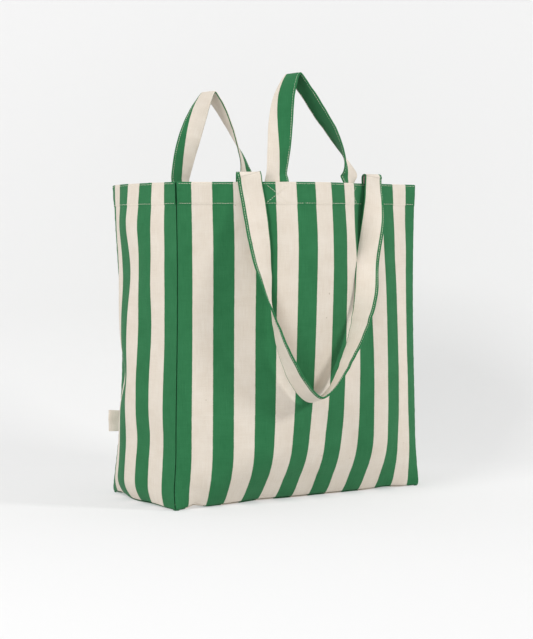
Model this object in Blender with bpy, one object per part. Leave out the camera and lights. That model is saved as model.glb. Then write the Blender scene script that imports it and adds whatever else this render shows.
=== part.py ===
"""Canvas tote bag: striped box-shaped body, two short handles and two long shoulder straps.

Metres, +Z up. The origin is under the middle of the bag on the surface that it stands on, the
front faces -Y and the left gusset faces -X. Every piece is a sheet of cloth given its thickness.
"""

from math import pi, radians

import bpy
import numpy as np

# Body
HEIGHT = 0.400  # floor to rim
FLAT_WIDTH = 0.375  # front and back panels, laid flat
FLAT_DEPTH = 0.1745  # gussets, laid flat
CANVAS = 0.001  # one layer of cloth
FOOT_HEIGHT = 0.075  # the walls reach their full swell this far above the floor
FOOT_INSET = 0.005  # how far the front and back bottom edges draw in
GUSSET_FOOT_SWELL = 0.008  # how far the gussets' bottom edges bow out
GUSSET_FOOT_HEIGHT = 0.030
FOOT_DRAW = 0.004  # the upright corners draw in by this much at the floor
WALL_START = 0.0006  # the walls' lower edge, above the floor
WALL_ROWS = 19
WALL_ROW_POWER = 1.4  # above 1, the rows crowd towards the floor
WIDE_COLUMNS = 27  # of points across a front or back wall
GUSSET_COLUMNS = 13
STRIP_ROWS = 4  # of points across a hem, a seam or a sewn strap end

# How far each wall bows out, as sine waves with one, two, three and four half turns across it.
# Each wave has its size low down, at mid height and at the rim.
FRONT_BOW = (
    (0.043, 0.052, 0.045),
    (0.0015, -0.0015, 0.003),
    (0.005, -0.005, -0.008),
    (-0.0015, -0.004, -0.0025),
)
BACK_BOW = (
    (0.036, 0.043, 0.040),
    (-0.002, 0.002, -0.002),
    (0.004, -0.003, -0.005),
    (0.001, 0.002, 0.002),
)
GUSSET_BOW = ((0.020, 0.0205, 0.0125), (-0.002, -0.0015, -0.003), (0.0, 0.0, 0.0), (0.0, 0.0, 0.0))
BOW_SHARES = (0.175, 0.6, 0.975)  # those three heights, as shares of HEIGHT

# The back-left corner is pulled in and forward, with this reach across and up.
PULL_PLACE = (-0.182, 0.085, 0.170)
PULL_REACHES = (0.045, 0.130)
PULL = (0.0065, -0.006, 0.0)

# Seams and hem
CORNER_GAP = 0.0014  # the walls stop this far short of the corner line
HEM_DEPTH = 0.028
HEM_THICKNESS = 0.0015
HEM_END_GAP = 0.004
HEM_TOP_GAP = 0.0003
LAYER_GAP = 0.0003
SEAM_WIDTH = 0.010
SEAM_THICKNESS = 0.0018
SEAM_END_GAP = 0.003
SEAM_FOOT = 0.012
FLOOR_EDGE_GAP = 0.0018  # between the bottom panel's edge and the middle of a wall

# Straps
STRAP_WIDTH = 0.030
STRAP_THICKNESS = 0.0025
SEWN_DEPTH = 0.028  # how far a strap's end goes down inside the rim
FRONT_STRAPS_MIDDLE = -0.003  # x midway between the legs of the front straps
BACK_STRAPS_MIDDLE = -0.011
FRONT_LONG_SHIFT = 0.004  # the front long strap sits this far to the right of the handle's middle
SHORT_HALF_SPAN = 0.058
SHORT_HINGE_RISE = 0.010  # the short handles bend this far above the rim
LEG_GAP = 0.006  # between a short handle's leg and the long strap's beside it
LONG_HALF_SPAN = SHORT_HALF_SPAN + STRAP_WIDTH + LEG_GAP
FRONT_LONG_HINGE_RISE = 0.008
BACK_LONG_HINGE_RISE = 0.0006
LONG_SEWN_STOP = 0.0004
STRAP_REST_GAP = 0.0013  # between a hanging strap and the wall behind it
TURNED_GAP = STRAP_WIDTH / 6  # how much further off the wall it stands where it is turned on edge
FRONT_HANDLE_REACH = 0.125
FRONT_HANDLE_LEAN = -0.025  # sideways drift of the arch's crown
BACK_HANDLE_REACH = 0.121
BACK_HANDLE_LEAN = -0.003
HANDLE_TIP_BACK = 0.008  # how far both crowns lean towards the back
LONG_DROP = 0.276
FRONT_STRAP_LEAN = -0.0205
BACK_STRAP_LEAN = 0.012
# A strap is fully turned on edge by this far round its loop.
# The first angle is from its left end and the second from its right.
FRONT_HANDLE_TWIST_ENDS = (radians(84), radians(50))
BACK_HANDLE_TWIST_ENDS = (radians(84), radians(88))
HANGING_TWIST_ENDS = (radians(75), radians(75))
LOOP_STATIONS = 40
STANDING_POWERS = (1.75, 1.5)  # of the cosine sideways and the sine along a loop; higher is more pointed
HANGING_POWERS = (1.15, 4 / 3)

SLOPE_STEP = 0.0005  # for measuring a wall's slope

# Side label, a folded tape caught in the back-left seam
LABEL_HEIGHT = 0.027
LABEL_REACH = 0.014
LABEL_THICKNESS = 0.0016
LABEL_MIDDLE = 0.094  # above the floor
LABEL_DIRECTION = (-0.80, 0.60)
LABEL_SEAM_GAP = 0.0015

# Finishes: colour, roughness, metallic
FINISHES = {
    "striped_canvas": ((0.245, 0.355, 0.205), 0.90, 0.0),
    "canvas_lining": ((0.225, 0.325, 0.190), 0.92, 0.0),
    "strap_canvas": ((0.690, 0.610, 0.485), 0.90, 0.0),
    "label_cotton": ((0.740, 0.690, 0.560), 0.85, 0.0),
}


def clear_scene():
    for obj in list(bpy.data.objects):
        bpy.data.objects.remove(obj)


def make_material(name, finish):
    colour, roughness, metallic = FINISHES[finish]
    material = bpy.data.materials.new(name)
    material.use_nodes = True
    shader = material.node_tree.nodes["Principled BSDF"]
    shader.inputs["Base Color"].default_value = (*colour, 1.0)
    shader.inputs["Roughness"].default_value = roughness
    shader.inputs["Metallic"].default_value = metallic
    material.diffuse_color = (*colour, 1.0)
    return material


def add_sheet(name, points, thickness, finish, origin=(0.0, 0.0, 0.0)):
    """A sheet through a grid of points (rows, columns, 3), thickened evenly to both sides."""
    rows, columns = points.shape[:2]
    local = (points - np.array(origin)).reshape(-1, 3)
    corner = np.arange(rows * columns).reshape(rows, columns)
    quads = np.stack([corner[:-1, :-1], corner[1:, :-1], corner[1:, 1:], corner[:-1, 1:]], axis=-1)
    mesh = bpy.data.meshes.new(name)
    mesh.from_pydata(local.tolist(), [], quads.reshape(-1, 4).tolist())
    mesh.materials.append(make_material(name, finish))
    mesh.shade_smooth()
    obj = bpy.data.objects.new(name, mesh)
    obj.location = origin
    bpy.context.scene.collection.objects.link(obj)
    solid = obj.modifiers.new("thickness", "SOLIDIFY")
    solid.thickness = thickness
    solid.offset = 0.0
    solid.use_even_offset = True
    return obj


def smoothstep(x):
    x = np.clip(x, 0.0, 1.0)
    return x * x * (3 - 2 * x)


def through_heights(z, sizes):
    """The parabola with these three sizes at the three bow heights."""
    low, middle, rim = (share * HEIGHT for share in BOW_SHARES)
    z = np.clip(z, 0.4 * low, HEIGHT)
    return (
        sizes[0] * (z - middle) * (z - rim) / ((low - middle) * (low - rim))
        + sizes[1] * (z - low) * (z - rim) / ((middle - low) * (middle - rim))
        + sizes[2] * (z - low) * (z - middle) / ((rim - low) * (rim - middle))
    )


def foot_rise(z, height):
    """0 at the floor, growing as a parabola to 1 at this height, and 1 above it."""
    return 1 - (1 - np.clip(z / height, 0.0, 1.0)) ** 2


def waves(bow, t, z):
    return sum(through_heights(z, sizes) * np.sin((i + 1) * pi * t) for i, sizes in enumerate(bow))


def wall_bow(bow, t, z):
    """How far a front or back wall stands out from its chord, at share t across and height z."""
    rise = foot_rise(z, FOOT_HEIGHT)
    return waves(bow, t, z) * rise - FOOT_INSET * np.sin(pi * t) * (1 - rise)


def gusset_bow(t, z):
    rise = foot_rise(z, GUSSET_FOOT_HEIGHT)
    return waves(GUSSET_BOW, t, z) * rise + GUSSET_FOOT_SWELL * np.sin(pi * t) * (1 - rise)


def chord(flat, bow, rise, z):
    """The corner-to-corner distance that a bowed wall of this flat length spans."""
    steepness = sum(((i + 1) * pi * through_heights(z, sizes) * rise) ** 2 for i, sizes in enumerate(bow))
    return flat - steepness / (4 * flat)


def half_width(z):
    rise = foot_rise(z, FOOT_HEIGHT)
    return chord(FLAT_WIDTH, FRONT_BOW, rise, z) / 2 - FOOT_DRAW * (1 - rise)


def half_depth(z):
    return chord(FLAT_DEPTH, GUSSET_BOW, foot_rise(z, GUSSET_FOOT_HEIGHT), z) / 2


def wall_y(side, x, z):
    """Y of the front (side -1) or back (side +1) wall at x and z."""
    z = np.clip(z, 0.0, HEIGHT)
    t = np.clip((x / half_width(z) + 1) / 2, 0.0, 1.0)
    return side * (half_depth(z) + wall_bow(FRONT_BOW if side < 0 else BACK_BOW, t, z))


def gusset_x(side, y, z):
    """X of the left (side -1) or right (side +1) gusset at y and z."""
    z = np.clip(z, 0.0, HEIGHT)
    t = np.clip((y / half_depth(z) + 1) / 2, 0.0, 1.0)
    return side * (half_width(z) + gusset_bow(t, z))


def slopes(surface, side, u, z):
    """How fast surface(side, u, z) grows with u and with z."""
    along_u = surface(side, u + SLOPE_STEP, z) - surface(side, u - SLOPE_STEP, z)
    along_z = surface(side, u, z + SLOPE_STEP) - surface(side, u, z - SLOPE_STEP)
    return along_u / (2 * SLOPE_STEP), along_z / (2 * SLOPE_STEP)


def moved_inward(surface, side, u, z, inward):
    """(out, u) of points on a wall, moved square to it, where surface(side, u, z) gives its out."""
    slope, rise = slopes(surface, side, u, z)
    length = np.sqrt(1 + slope**2)
    shift = inward * np.sqrt(1 + rise**2 / length**2) / length
    return surface(side, u, z) - side * shift, u + side * slope * shift


def settled(points):
    """Points after the pull on the back-left corner, which fades as exp(-distance^2) over its reaches."""
    offset = points - np.array(PULL_PLACE)
    across = (offset[..., 0] ** 2 + offset[..., 1] ** 2) / PULL_REACHES[0] ** 2
    share = np.exp(-across - (offset[..., 2] / PULL_REACHES[1]) ** 2)
    return points + share[..., None] * np.array(PULL)


def wall_points(side, x, z, inward):
    """Points on a front or back wall, moved inward square to it."""
    y, x = moved_inward(wall_y, side, x, z, inward)
    return settled(np.stack(np.broadcast_arrays(x, y, z), axis=-1))


def gusset_points(side, y, z, inward):
    x, y = moved_inward(gusset_x, side, y, z, inward)
    return settled(np.stack(np.broadcast_arrays(x, y, z), axis=-1))


def spread(count, low, high):
    return low + (high - low) * np.linspace(0.0, 1.0, count)[:, None]


def wall_heights():
    """The heights of the walls' rows, closer together near the floor."""
    return (WALL_START + (HEIGHT - WALL_START) * np.linspace(0.0, 1.0, WALL_ROWS) ** WALL_ROW_POWER)[None, :]


def add_walls():
    z = wall_heights()
    for name, side in (("front_panel", -1), ("back_panel", 1)):
        reach = half_width(z) - CORNER_GAP
        x = reach * np.linspace(-1, 1, WIDE_COLUMNS)[:, None]
        add_sheet(name, wall_points(side, x, z, 0.0), CANVAS, "striped_canvas")
    for name, side in (("left_gusset", -1), ("right_gusset", 1)):
        reach = half_depth(z) - CORNER_GAP
        y = reach * np.linspace(-1, 1, GUSSET_COLUMNS)[:, None]
        add_sheet(name, gusset_points(side, y, z, 0.0), CANVAS, "striped_canvas")


def add_bottom():
    t = np.linspace(0, 1, WIDE_COLUMNS)[:, None]
    v = np.linspace(0, 1, GUSSET_COLUMNS)[None, :]
    x = (2 * t - 1) * (half_width(0.0) + gusset_bow(v, 0.0) - FLOOR_EDGE_GAP)
    edge = half_depth(0.0) - FOOT_INSET * np.sin(pi * t) - FLOOR_EDGE_GAP
    y = edge * (2 * v - 1)
    points = np.stack([x, y, CANVAS / 2 + 0 * x], axis=-1)
    add_sheet("bottom_panel", settled(points), CANVAS, "canvas_lining")


def add_hems():
    inward = CANVAS / 2 + LAYER_GAP + HEM_THICKNESS / 2
    z = np.linspace(HEIGHT - HEM_DEPTH, HEIGHT - HEM_TOP_GAP, STRIP_ROWS)[None, :]
    for name, side in (("front_hem", -1), ("back_hem", 1)):
        x = (half_width(z) - HEM_END_GAP) * np.linspace(-1, 1, WIDE_COLUMNS)[:, None]
        add_sheet(name, wall_points(side, x, z, inward), HEM_THICKNESS, "canvas_lining")
    for name, side in (("left_hem", -1), ("right_hem", 1)):
        y = (half_depth(z) - HEM_END_GAP) * np.linspace(-1, 1, GUSSET_COLUMNS)[:, None]
        add_sheet(name, gusset_points(side, y, z, inward), HEM_THICKNESS, "canvas_lining")


def add_corner_seams():
    """The sewn-together edges inside each upright corner, pressed flat against the gusset."""
    inward = CANVAS / 2 + LAYER_GAP + SEAM_THICKNESS / 2
    z = wall_heights()
    z = z[:, (z[0] > SEAM_FOOT) & (z[0] < HEIGHT - HEM_DEPTH - SEAM_END_GAP)]
    for end_name, end in (("front", -1), ("back", 1)):
        for side_name, side in (("left", -1), ("right", 1)):
            y = end * (half_depth(z) - SEAM_END_GAP - spread(STRIP_ROWS, 0.0, SEAM_WIDTH))
            points = gusset_points(side, y, z, inward)
            add_sheet(f"{end_name}_{side_name}_seam", points, SEAM_THICKNESS, "canvas_lining")


def long_hinge_rise(side):
    return FRONT_LONG_HINGE_RISE if side < 0 else BACK_LONG_HINGE_RISE


def strap_plane():
    """How far inside a wall's middle a sewn strap end lies."""
    return CANVAS / 2 + LAYER_GAP + HEM_THICKNESS + LAYER_GAP + STRAP_THICKNESS / 2


def leg_places(side, kind):
    """x of the two legs of a strap: side -1 front, +1 back; kind short or long."""
    middle = FRONT_STRAPS_MIDDLE if side < 0 else BACK_STRAPS_MIDDLE
    half_span = SHORT_HALF_SPAN if kind == "short" else LONG_HALF_SPAN
    if kind == "long" and side < 0:
        middle += FRONT_LONG_SHIFT
    return middle - half_span, middle + half_span


def add_sewn_ends():
    for side_name, side in (("front", -1), ("back", 1)):
        tops = {"short": HEIGHT - LAYER_GAP, "long": HEIGHT + long_hinge_rise(side) - LONG_SEWN_STOP}
        for kind, top in tops.items():
            for leg_name, place in zip(("left", "right"), leg_places(side, kind)):
                slope, _ = slopes(wall_y, side, place, HEIGHT)
                half = STRAP_WIDTH / 2 / np.sqrt(1 + slope**2)
                x = spread(STRIP_ROWS, place - half, place + half)
                z = np.linspace(HEIGHT - SEWN_DEPTH, top, STRIP_ROWS)[None, :]
                points = wall_points(side, x, z, strap_plane())
                add_sheet(f"{side_name}_{kind}_end_{leg_name}", points, STRAP_THICKNESS, "strap_canvas")


def loop_line(phi, half_span, reach, lean, powers):
    """Sideways place and distance from the hinge of a loop's middle line, phi from 0 to pi."""
    along = np.abs(np.sin(phi)) ** powers[1]
    sideways = -half_span * np.sign(np.cos(phi)) * np.abs(np.cos(phi)) ** powers[0]
    return sideways + lean * smoothstep(along), reach * along


def unit(v):
    return v / np.linalg.norm(v, axis=-1, keepdims=True)


def ribbon(line, base_normal, loop_normal, twist):
    """Both edges of a ribbon along a line. Its face turns from base_normal to loop_normal."""
    tangent = unit(np.gradient(line, axis=0))
    face = np.cos(twist)[:, None] * base_normal + np.sin(twist)[:, None] * loop_normal
    across = unit(np.cross(tangent, face))
    half = STRAP_WIDTH / 2
    return np.stack([line - half * across, line + half * across], axis=1)


def twist_along(phi, twist_ends, right_share):
    left, right = np.clip([phi / twist_ends[0], (pi - phi) / twist_ends[1]], 0.0, 1.0)
    return pi / 2 * smoothstep(left) * right_share(right)


def at_once(x):
    """A share that grows quickly at first, as a parabola."""
    return foot_rise(x, 1.0)


def hinge_points(side, kind):
    """Where a strap's two legs bend: two points, one above the rim at each leg."""
    rise = SHORT_HINGE_RISE if kind == "short" else long_hinge_rise(side)
    inward = strap_plane()
    if kind == "long":
        outside = CANVAS / 2 + STRAP_REST_GAP + STRAP_THICKNESS / 2
        inward = (strap_plane() - outside) / 2
    legs = [(x, wall_y(side, x, HEIGHT) - side * inward, HEIGHT + rise) for x in leg_places(side, kind)]
    return np.array(legs)


def add_handle(name, side, reach, lean, twist_ends):
    """A short handle, standing up from its two legs and turned on edge at its crown."""
    left, right = hinge_points(side, "short")
    middle = (left + right) / 2
    along = unit(right - left)
    phi = np.linspace(0, pi, LOOP_STATIONS)
    sideways, rise = loop_line(phi, np.linalg.norm(right - left) / 2, reach, lean, STANDING_POWERS)
    line = middle + sideways[:, None] * along + rise[:, None] * np.array([0.0, 0.0, 1.0])
    line[:, 1] += HANDLE_TIP_BACK * (rise / reach) ** 2
    outward = side * np.array([-along[1], along[0], 0.0])
    tangent = unit(np.gradient(line, axis=0))
    loop_normal = unit(np.cross(outward, tangent))
    edges = ribbon(line, outward, loop_normal, twist_along(phi, twist_ends, at_once))
    add_sheet(name, edges, STRAP_THICKNESS, "striped_canvas", origin=tuple(middle))


def add_long_strap(name, side, lean):
    """A shoulder strap draped over the rim, hanging against the wall and on edge at its foot."""
    left, right = hinge_points(side, "long")
    middle = (left + right) / 2
    phi = np.linspace(0, pi, LOOP_STATIONS)
    sideways, drop = loop_line(phi, LONG_HALF_SPAN, LONG_DROP, lean, HANGING_POWERS)
    x, z = middle[0] + sideways, middle[2] - drop
    twist = twist_along(phi, HANGING_TWIST_ENDS, smoothstep)
    away = CANVAS / 2 + STRAP_REST_GAP
    away = away + STRAP_THICKNESS / 2 * np.cos(twist) + (STRAP_WIDTH / 2 + TURNED_GAP) * np.sin(twist)
    line = np.stack([x, wall_y(side, x, z) + side * away, z], axis=-1)
    lean_x, lean_z = slopes(wall_y, side, x, z)
    wall_normal = unit(side * np.stack([-lean_x, 1 + 0 * x, -lean_z], axis=-1))
    tangent = unit(np.gradient(line, axis=0))
    loop_normal = unit(np.cross(np.array([0.0, -1.0, 0.0]), tangent))
    edges = ribbon(line, wall_normal, loop_normal, twist)
    add_sheet(name, edges, STRAP_THICKNESS, "strap_canvas", origin=tuple(middle))


def add_label():
    corner = settled(np.array([-half_width(LABEL_MIDDLE), half_depth(LABEL_MIDDLE), LABEL_MIDDLE]))
    corner[2] = 0.0
    out = unit(np.array([*LABEL_DIRECTION, 0.0]))
    start = corner + out * LABEL_SEAM_GAP
    reach = np.linspace(0, LABEL_REACH, STRIP_ROWS)[:, None, None]
    z = LABEL_MIDDLE + LABEL_HEIGHT * np.linspace(-0.5, 0.5, STRIP_ROWS)[None, :, None]
    points = start + out * reach + z * np.array([0.0, 0.0, 1.0])
    add_sheet("side_label", points, LABEL_THICKNESS, "label_cotton", origin=(*start[:2], LABEL_MIDDLE))


def main():
    clear_scene()
    add_walls()
    add_bottom()
    add_hems()
    add_corner_seams()
    add_sewn_ends()
    add_handle("front_short_handle", -1, FRONT_HANDLE_REACH, FRONT_HANDLE_LEAN, FRONT_HANDLE_TWIST_ENDS)
    add_handle("back_short_handle", 1, BACK_HANDLE_REACH, BACK_HANDLE_LEAN, BACK_HANDLE_TWIST_ENDS)
    add_long_strap("front_long_strap", -1, FRONT_STRAP_LEAN)
    add_long_strap("back_long_strap", 1, BACK_STRAP_LEAN)
    add_label()


main()
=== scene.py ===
from math import pi, radians

import bpy
import numpy as np
from mathutils import Euler, Matrix, Vector


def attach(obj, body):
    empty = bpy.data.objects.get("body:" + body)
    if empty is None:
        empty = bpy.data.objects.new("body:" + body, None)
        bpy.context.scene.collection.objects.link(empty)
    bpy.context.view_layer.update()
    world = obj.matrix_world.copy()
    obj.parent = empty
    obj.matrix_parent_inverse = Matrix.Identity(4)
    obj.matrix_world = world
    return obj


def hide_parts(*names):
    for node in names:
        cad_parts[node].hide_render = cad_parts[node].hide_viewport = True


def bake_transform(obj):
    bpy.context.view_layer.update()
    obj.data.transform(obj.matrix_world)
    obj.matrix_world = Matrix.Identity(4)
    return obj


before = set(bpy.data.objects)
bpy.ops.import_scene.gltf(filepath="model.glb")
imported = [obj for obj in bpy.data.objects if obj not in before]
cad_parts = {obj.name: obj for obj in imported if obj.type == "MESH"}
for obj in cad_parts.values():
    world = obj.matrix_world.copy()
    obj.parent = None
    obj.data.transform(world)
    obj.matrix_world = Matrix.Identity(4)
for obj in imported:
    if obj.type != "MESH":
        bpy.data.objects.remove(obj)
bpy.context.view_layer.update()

# the bag's measures, the same as the CAD model's
bag = {
    "height": 0.400,
    "flatWidth": 0.375,
    "flatDepth": 0.1745,
    "stripe": 0.02586,
    "footHeight": 0.075,
    "footInset": 0.005,
    "footDraw": 0.004,
    "gussetFootSwell": 0.008,
    "gussetFootHeight": 0.030,
    "wallHalf": 0.0005,
    "bowShares": (0.175, 0.6, 0.975),
}
# how far each wall bows out: waves of one to four half turns, each low down, half way up and at the rim
bows = {
    "front": ((0.043, 0.052, 0.045), (0.0015, -0.0015, 0.003), (0.005, -0.005, -0.008), (-0.0015, -0.004, -0.0025)),
    "back": ((0.036, 0.043, 0.040), (-0.002, 0.002, -0.002), (0.004, -0.003, -0.005), (0.001, 0.002, 0.002)),
    "gusset": ((0.020, 0.0205, 0.0125), (-0.002, -0.0015, -0.003)),
}


def smoothstep(x):
    x = np.clip(x, 0.0, 1.0)
    return x * x * (3 - 2 * x)


def unit(v):
    return v / np.linalg.norm(v, axis=-1, keepdims=True)


# the parabola through three sizes, at three shares of the bag's height
def throughHeights(z, sizes):
    low, middle, rim = (share * bag["height"] for share in bag["bowShares"])
    z = np.clip(z, 0.4 * low, bag["height"])
    return (
        sizes[0] * (z - middle) * (z - rim) / ((low - middle) * (low - rim))
        + sizes[1] * (z - low) * (z - rim) / ((middle - low) * (middle - rim))
        + sizes[2] * (z - low) * (z - middle) / ((rim - low) * (rim - middle))
    )


# 0 on the floor, growing as a parabola to 1 at this height
def footRise(z, height):
    return 1 - (1 - np.clip(z / height, 0.0, 1.0)) ** 2


def waves(bow, t, z):
    return sum(throughHeights(z, sizes) * np.sin((i + 1) * pi * t) for i, sizes in enumerate(bow))


# corner to corner across a bowed wall: the flat length less what its waves take up
def chord(flat, bow, rise, z):
    taken = sum(((i + 1) * pi * throughHeights(z, sizes) * rise) ** 2 for i, sizes in enumerate(bow))
    return flat - taken / (4 * flat)


def halfWidth(z):
    rise = footRise(z, bag["footHeight"])
    return chord(bag["flatWidth"], bows["front"], rise, z) / 2 - bag["footDraw"] * (1 - rise)


def halfDepth(z):
    return chord(bag["flatDepth"], bows["gusset"], footRise(z, bag["gussetFootHeight"]), z) / 2


def wallBow(bow, t, z):
    rise = footRise(z, bag["footHeight"])
    return waves(bow, t, z) * rise - bag["footInset"] * np.sin(pi * t) * (1 - rise)


def gussetBow(t, z):
    rise = footRise(z, bag["gussetFootHeight"])
    return waves(bows["gusset"], t, z) * rise + bag["gussetFootSwell"] * np.sin(pi * t) * (1 - rise)


# soft dents and swells pressed into the walls: share across, height, reach across and up in metres,
# depth in metres (minus is a dent) and tilt in degrees
dents = {
    "front": (
        (0.706, 0.322, 0.015, 0.095, -0.0100, 3),
        (0.815, 0.300, 0.026, 0.120, 0.0035, 0),
        (0.300, 0.120, 0.040, 0.060, 0.0020, 25),
        (0.560, 0.070, 0.060, 0.025, -0.0015, -10),
        (0.120, 0.060, 0.014, 0.050, -0.0022, 28),
        (0.900, 0.075, 0.016, 0.060, -0.0025, -24),
        (0.080, 0.240, 0.012, 0.080, -0.0018, 4),
        (0.955, 0.200, 0.010, 0.090, -0.0020, -3),
    ),
    "back": (
        (0.300, 0.300, 0.030, 0.110, -0.0040, -4),
        (0.640, 0.250, 0.034, 0.120, 0.0030, 3),
        (0.860, 0.090, 0.016, 0.060, -0.0022, -22),
        (0.120, 0.080, 0.016, 0.060, -0.0022, 22),
        (0.500, 0.110, 0.060, 0.030, -0.0018, 8),
    ),
    "left": (
        (0.780, 0.158, 0.030, 0.026, -0.0070, 12),
        (0.300, 0.215, 0.034, 0.050, -0.0042, -14),
        (0.620, 0.285, 0.030, 0.042, -0.0048, 16),
        (0.360, 0.085, 0.040, 0.024, -0.0036, -12),
        (0.550, 0.350, 0.045, 0.024, 0.0030, 0),
        (0.860, 0.240, 0.018, 0.050, 0.0030, 6),
    ),
    "right": (
        (0.260, 0.170, 0.030, 0.030, -0.0055, -10),
        (0.700, 0.230, 0.034, 0.060, -0.0028, 12),
        (0.420, 0.300, 0.030, 0.050, -0.0025, -14),
        (0.640, 0.080, 0.040, 0.022, -0.0022, 10),
    ),
}


# the sum of the dents of a wall: each is depth times exp(-(across/reach)^2 - (up/reach)^2), turned by its tilt
def pressed(wall, t, z):
    flat = bag["flatWidth"] if wall in ("front", "back") else bag["flatDepth"]
    total = 0 * t * z
    for place, height, reachAcross, reachUp, depth, tilt in dents[wall]:
        across = (t - place) * flat
        up = z - height
        turn = radians(tilt)
        side = across * np.cos(turn) + up * np.sin(turn)
        rise = up * np.cos(turn) - across * np.sin(turn)
        total = total + depth * np.exp(-((side / reachAcross) ** 2) - (rise / reachUp) ** 2)
    return total * np.clip(np.sin(pi * np.clip(t, 0, 1)) * 3, 0, 1)


# an uneven ripple along a line, made of three sines whose lengths share no common measure
def ripple(distance, wavelength, shift):
    turn = 2 * pi * distance / wavelength
    return (np.sin(turn + shift) + 0.7 * np.sin(turn * 0.618 + 2.1 * shift) + 0.5 * np.sin(turn * 1.732 + shift / 2)) / 2.2


# outward distance of each wall's middle from the bag's centre planes; u is x on front and back, y on gussets
def wallOut(wall, u, z):
    z = np.clip(z, 0.0, bag["height"])
    if wall in ("front", "back"):
        t = np.clip((u / halfWidth(z) + 1) / 2, 0.0, 1.0)
        return halfDepth(z) + wallBow(bows[wall], t, z) + pressed(wall, t, z)
    t = np.clip((u / halfDepth(z) + 1) / 2, 0.0, 1.0)
    return halfWidth(z) + gussetBow(t, z) + pressed(wall, t, z)


# a wall's own directions: the way it faces, and the way its u grows
facings = {"front": (0, -1), "back": (0, 1), "left": (-1, 0), "right": (1, 0)}


def placed(wall, u, out, z):
    u, out, z = np.broadcast_arrays(u, out, z)
    if wall in ("front", "back"):
        return settled(np.stack([u, facings[wall][1] * out, z], axis=-1))
    return settled(np.stack([facings[wall][0] * out, u, z], axis=-1))


# the back-left corner is pulled in and forward
pull = {"place": (-0.182, 0.085, 0.170), "reaches": (0.045, 0.130), "shift": (0.0065, -0.006, 0.0)}


# points after that pull, which fades as exp(-distance^2) over its reaches
def settled(points):
    offset = points - np.array(pull["place"])
    across = (offset[..., 0] ** 2 + offset[..., 1] ** 2) / pull["reaches"][0] ** 2
    share = np.exp(-across - (offset[..., 2] / pull["reaches"][1]) ** 2)
    return points + share[..., None] * np.array(pull["shift"])


# u and out of a point on a wall, moved inward square to it
def movedIn(wall, u, z, inward):
    step = 0.0005
    slope = (wallOut(wall, u + step, z) - wallOut(wall, u - step, z)) / (2 * step)
    length = np.sqrt(1 + slope**2)
    return u + slope * inward / length, wallOut(wall, u, z) - inward / length


def addObject(name, points, faces, finish, smooth=True):
    mesh = bpy.data.meshes.new(name)
    mesh.vertices.add(len(points))
    mesh.vertices.foreach_set("co", np.ascontiguousarray(points, np.float32).ravel())
    mesh.loops.add(faces.size)
    mesh.loops.foreach_set("vertex_index", np.ascontiguousarray(faces, np.int32).ravel())
    mesh.polygons.add(len(faces))
    mesh.polygons.foreach_set("loop_start", np.arange(len(faces), dtype=np.int32) * faces.shape[1])
    mesh.polygons.foreach_set("loop_total", np.full(len(faces), faces.shape[1], np.int32))
    mesh.update(calc_edges=True)
    mesh.validate()
    if smooth:
        mesh.shade_smooth()
    mesh.materials.append(finish)
    piece = bpy.data.objects.new(name, mesh)
    bpy.context.scene.collection.objects.link(piece)
    return piece


def addUv(piece, corners):
    layer = piece.data.uv_layers.new(name="cloth")
    layer.data.foreach_set("uv", np.ascontiguousarray(corners, np.float32).ravel())


# quads of a grid of points, rows by columns; wrap closes the columns into a tube
def gridQuads(rows, columns, wrap=False):
    index = np.arange(rows * columns).reshape(rows, columns)
    if wrap:
        index = np.concatenate([index, index[:, :1]], axis=1)
    quads = np.stack([index[:-1, :-1], index[1:, :-1], index[1:, 1:], index[:-1, 1:]], axis=-1)
    return quads.reshape(-1, 4)


def thicken(piece, thickness, offset=-1.0):
    solid = piece.modifiers.new("thickness", "SOLIDIFY")
    solid.thickness = thickness
    solid.offset = offset


# ---- shader kit

class Value:
    # one socket of a material, so that shader maths reads like sums
    def __init__(self, finish, socket):
        self.finish, self.socket = finish, socket

    def maths(self, operation, *others):
        return self.finish.maths(operation, *others)

    def __add__(self, other):
        return self.maths("ADD", self, other)

    def __sub__(self, other):
        return self.maths("SUBTRACT", self, other)

    def __mul__(self, other):
        return self.maths("MULTIPLY", self, other)

    def __truediv__(self, other):
        return self.maths("DIVIDE", self, other)

    def __pow__(self, other):
        return self.maths("POWER", self, other)

    def __radd__(self, other):
        return self.maths("ADD", other, self)

    def __rsub__(self, other):
        return self.maths("SUBTRACT", other, self)

    def __rmul__(self, other):
        return self.maths("MULTIPLY", other, self)


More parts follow.
